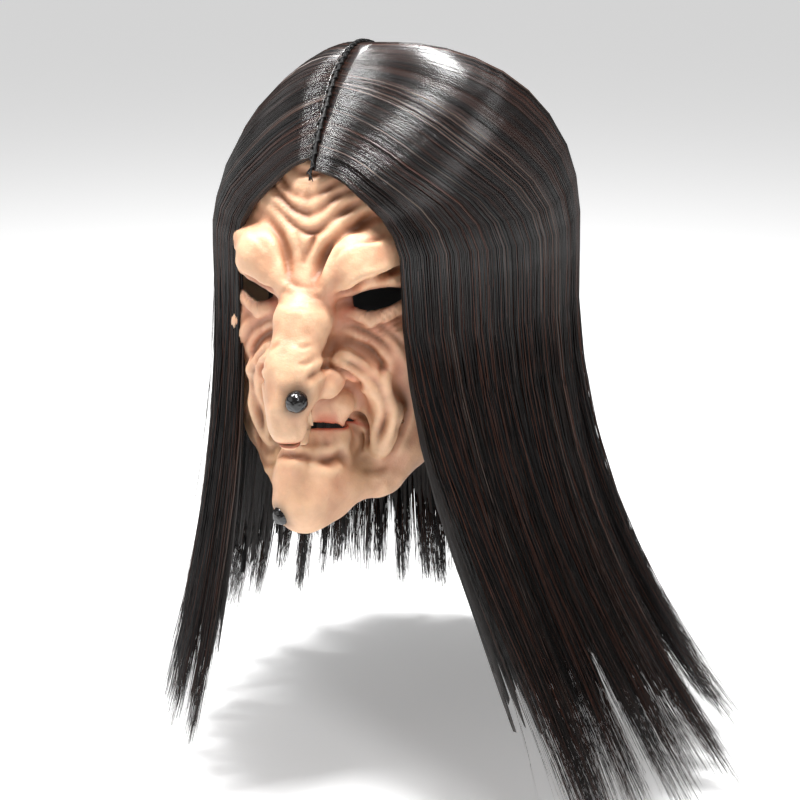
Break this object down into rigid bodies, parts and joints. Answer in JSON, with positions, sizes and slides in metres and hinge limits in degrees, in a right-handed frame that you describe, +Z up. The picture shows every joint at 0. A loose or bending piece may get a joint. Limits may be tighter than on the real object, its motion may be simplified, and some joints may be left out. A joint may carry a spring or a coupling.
{
  "type": "latex halloween mask",
  "caption": "Full-head hag mask: a hollow latex face with eye and mouth openings, on a stretch cap with long parted hair and an elastic nape strap.",
  "frame": {"origin": "middle of the wearer's head at eye level", "axes": "+Z up, the face looks along -Y, +X is the wearer's left"},
  "size_m": [0.3858, 0.3311, 0.4545],
  "materials": {
    "latex": "satin, painted in skin tones with brown washes in the folds",
    "wart": "gloss black",
    "net": "matt stretch net",
    "tape": "matt woven tape",
    "thread": "matt thread",
    "elastic": "woven elastic",
    "adjuster": "moulded, satin",
    "hair": "glossy synthetic fibre, dark brown streaked with grey"
  },
  "bodies": {
    "root": {"face_shell": "latex", "nose_wart": "wart", "chin_wart": "wart", "hairline_tape": "tape", "wig_cap": "net", "nape_band": "elastic", "parting_strip": "tape", "parting_stitches": "thread", "weft_1": "tape", "weft_2": "tape", "weft_3": "tape", "weft_4": "tape", "weft_5": "tape", "strap_patch_left": "tape", "strap_patch_right": "tape", "elastic_strap": "elastic", "crown_hair_left": "hair", "crown_hair_right": "hair"},
    "adjuster": {"strap_slider": "adjuster"},
    "left_hair": {"front_lock_left": "hair", "side_lock_left": "hair", "rear_lock_left": "hair"},
    "right_hair": {"front_lock_right": "hair", "side_lock_right": "hair"},
    "back_hair": {"back_lock_left": "hair", "back_lock_middle": "hair", "back_lock_right": "hair"}
  },
  "joints": [
    {"name": "adjuster_slide", "type": "slide", "parent": "root", "child": "adjuster", "axis": [1, 0, 0], "range_m": [-0.02, 0.02]},
    {"name": "left_hair_swing", "type": "hinge", "parent": "root", "child": "left_hair", "pos_m": [0.124, 0, 0.0094], "axis": [0, -1, 0], "range_deg": [0, 35]},
    {"name": "right_hair_swing", "type": "hinge", "parent": "root", "child": "right_hair", "pos_m": [-0.089, 0, 0.0094], "axis": [0, 1, 0], "range_deg": [0, 35]},
    {"name": "back_hair_swing", "type": "hinge", "parent": "root", "child": "back_hair", "pos_m": [0, 0.114, 0.0094], "axis": [1, 0, 0], "range_deg": [0, 35]}
  ]
}
